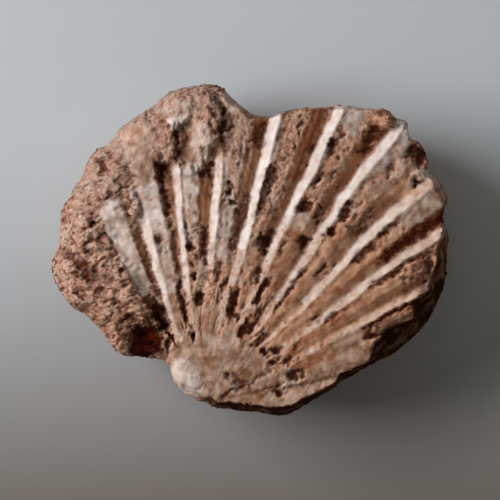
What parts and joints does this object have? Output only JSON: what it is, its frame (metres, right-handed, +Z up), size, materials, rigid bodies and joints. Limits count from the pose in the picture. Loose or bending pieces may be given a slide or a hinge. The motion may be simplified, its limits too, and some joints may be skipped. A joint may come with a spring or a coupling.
{
  "type": "brachiopod fossil",
  "caption": "Fossil shell of two closed valves filled with sandy rock: a low fan-ribbed dome with rock still on its left side, resting on a worn flat underside.",
  "frame": {"origin": "Middle of the bounding box on the surface that the fossil rests on, z = 0 at the worn flat of the lower valve.", "axes": "+X to the right across the shell (the longest extent), +Y away from the beak towards the ribbed margin, +Z up out of the upper valve."},
  "size_m": [0.0554, 0.0464, 0.0184],
  "materials": {
    "fossil_stone": "matte, weathered: cream to grey calcite ribs over brown sandy rock"
  },
  "bodies": {
    "root": {"brachiopod_fossil": "fossil_stone"}
  },
  "joints": []
}
